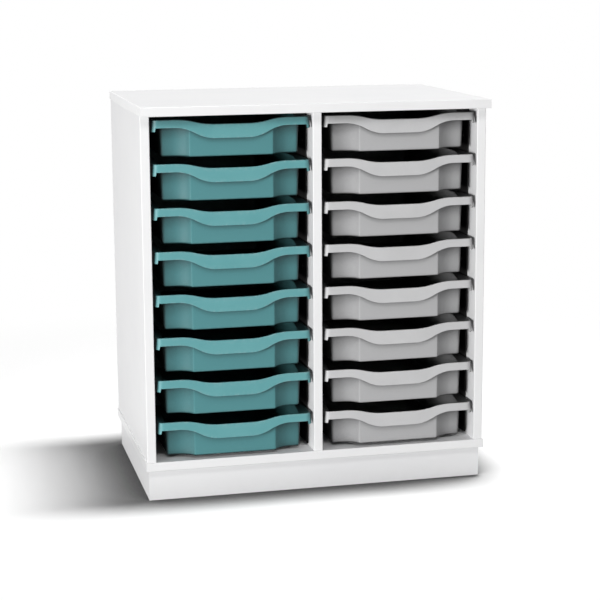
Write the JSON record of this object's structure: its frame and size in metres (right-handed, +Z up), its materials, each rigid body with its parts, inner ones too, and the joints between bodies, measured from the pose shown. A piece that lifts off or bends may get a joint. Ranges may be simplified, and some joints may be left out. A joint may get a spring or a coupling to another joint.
{
  "type": "classroom tray storage unit",
  "caption": "Low white cabinet on a recessed plinth with two bays of shallow wavy-fronted plastic trays that slide out on black runners.",
  "frame": {"origin": "on the floor under the middle of the whole unit's bounding box", "axes": "+X to the right seen from the front, +Y to the back, +Z up"},
  "size_m": [0.699, 0.463, 0.78],
  "materials": {
    "white_board": "white melamine facing, faintly satin",
    "back_board": "white faced fibreboard",
    "white_edging": "satin",
    "block_wood": "bare softwood",
    "dowel_wood": "bare beech",
    "runner_black": "matt",
    "screw_steel": "zinc plated",
    "screw_black": "black finished steel",
    "tray_teal": "satin moulded",
    "tray_grey": "satin moulded"
  },
  "bodies": {
    "cabinet": {"top_panel": "white_board", "base_panel": "white_board", "left_side_panel": "white_board", "right_side_panel": "white_board", "centre_divider": "white_board", "back_panel": "back_board", "plinth_front": "white_board", "plinth_back": "white_board", "plinth_left": "white_board", "plinth_right": "white_board", "plinth_corner_blocks": "block_wood", "left_side_edging": "white_edging", "divider_edging": "white_edging", "right_side_edging": "white_edging", "top_front_edging": "white_edging", "top_left_edging": "white_edging", "top_right_edging": "white_edging", "base_front_edging": "white_edging", "base_left_edging": "white_edging", "base_right_edging": "white_edging", "panel_dowels": "dowel_wood", "back_panel_screws": "screw_steel", "left_bay_left_runner": "runner_black", "left_bay_left_runner_screws": "screw_black", "left_bay_right_runner": "runner_black", "left_bay_right_runner_screws": "screw_black", "right_bay_left_runner": "runner_black", "right_bay_left_runner_screws": "screw_black", "right_bay_right_runner": "runner_black", "right_bay_right_runner_screws": "screw_black"},
    "left_tray_1": {"left_tray_1": "tray_teal"},
    "left_tray_2": {"left_tray_2": "tray_teal"},
    "left_tray_3": {"left_tray_3": "tray_teal"},
    "left_tray_4": {"left_tray_4": "tray_teal"},
    "left_tray_5": {"left_tray_5": "tray_teal"},
    "left_tray_6": {"left_tray_6": "tray_teal"},
    "left_tray_7": {"left_tray_7": "tray_teal"},
    "left_tray_8": {"left_tray_8": "tray_teal"},
    "right_tray_1": {"right_tray_1": "tray_grey"},
    "right_tray_2": {"right_tray_2": "tray_grey"},
    "right_tray_3": {"right_tray_3": "tray_grey"},
    "right_tray_4": {"right_tray_4": "tray_grey"},
    "right_tray_5": {"right_tray_5": "tray_grey"},
    "right_tray_6": {"right_tray_6": "tray_grey"},
    "right_tray_7": {"right_tray_7": "tray_grey"},
    "right_tray_8": {"right_tray_8": "tray_grey"}
  },
  "joints": [
    {"name": "left_tray_1_slide", "type": "slide", "parent": "cabinet", "child": "left_tray_1", "axis": [0, -1, 0], "range_m": [0, 0.33]},
    {"name": "left_tray_2_slide", "type": "slide", "parent": "cabinet", "child": "left_tray_2", "axis": [0, -1, 0], "range_m": [0, 0.33]},
    {"name": "left_tray_3_slide", "type": "slide", "parent": "cabinet", "child": "left_tray_3", "axis": [0, -1, 0], "range_m": [0, 0.33]},
    {"name": "left_tray_4_slide", "type": "slide", "parent": "cabinet", "child": "left_tray_4", "axis": [0, -1, 0], "range_m": [0, 0.33]},
    {"name": "left_tray_5_slide", "type": "slide", "parent": "cabinet", "child": "left_tray_5", "axis": [0, -1, 0], "range_m": [0, 0.33]},
    {"name": "left_tray_6_slide", "type": "slide", "parent": "cabinet", "child": "left_tray_6", "axis": [0, -1, 0], "range_m": [0, 0.33]},
    {"name": "left_tray_7_slide", "type": "slide", "parent": "cabinet", "child": "left_tray_7", "axis": [0, -1, 0], "range_m": [0, 0.33]},
    {"name": "left_tray_8_slide", "type": "slide", "parent": "cabinet", "child": "left_tray_8", "axis": [0, -1, 0], "range_m": [0, 0.33]},
    {"name": "right_tray_1_slide", "type": "slide", "parent": "cabinet", "child": "right_tray_1", "axis": [0, -1, 0], "range_m": [0, 0.33]},
    {"name": "right_tray_2_slide", "type": "slide", "parent": "cabinet", "child": "right_tray_2", "axis": [0, -1, 0], "range_m": [0, 0.33]},
    {"name": "right_tray_3_slide", "type": "slide", "parent": "cabinet", "child": "right_tray_3", "axis": [0, -1, 0], "range_m": [0, 0.33]},
    {"name": "right_tray_4_slide", "type": "slide", "parent": "cabinet", "child": "right_tray_4", "axis": [0, -1, 0], "range_m": [0, 0.33]},
    {"name": "right_tray_5_slide", "type": "slide", "parent": "cabinet", "child": "right_tray_5", "axis": [0, -1, 0], "range_m": [0, 0.33]},
    {"name": "right_tray_6_slide", "type": "slide", "parent": "cabinet", "child": "right_tray_6", "axis": [0, -1, 0], "range_m": [0, 0.33]},
    {"name": "right_tray_7_slide", "type": "slide", "parent": "cabinet", "child": "right_tray_7", "axis": [0, -1, 0], "range_m": [0, 0.33]},
    {"name": "right_tray_8_slide", "type": "slide", "parent": "cabinet", "child": "right_tray_8", "axis": [0, -1, 0], "range_m": [0, 0.33]}
  ]
}
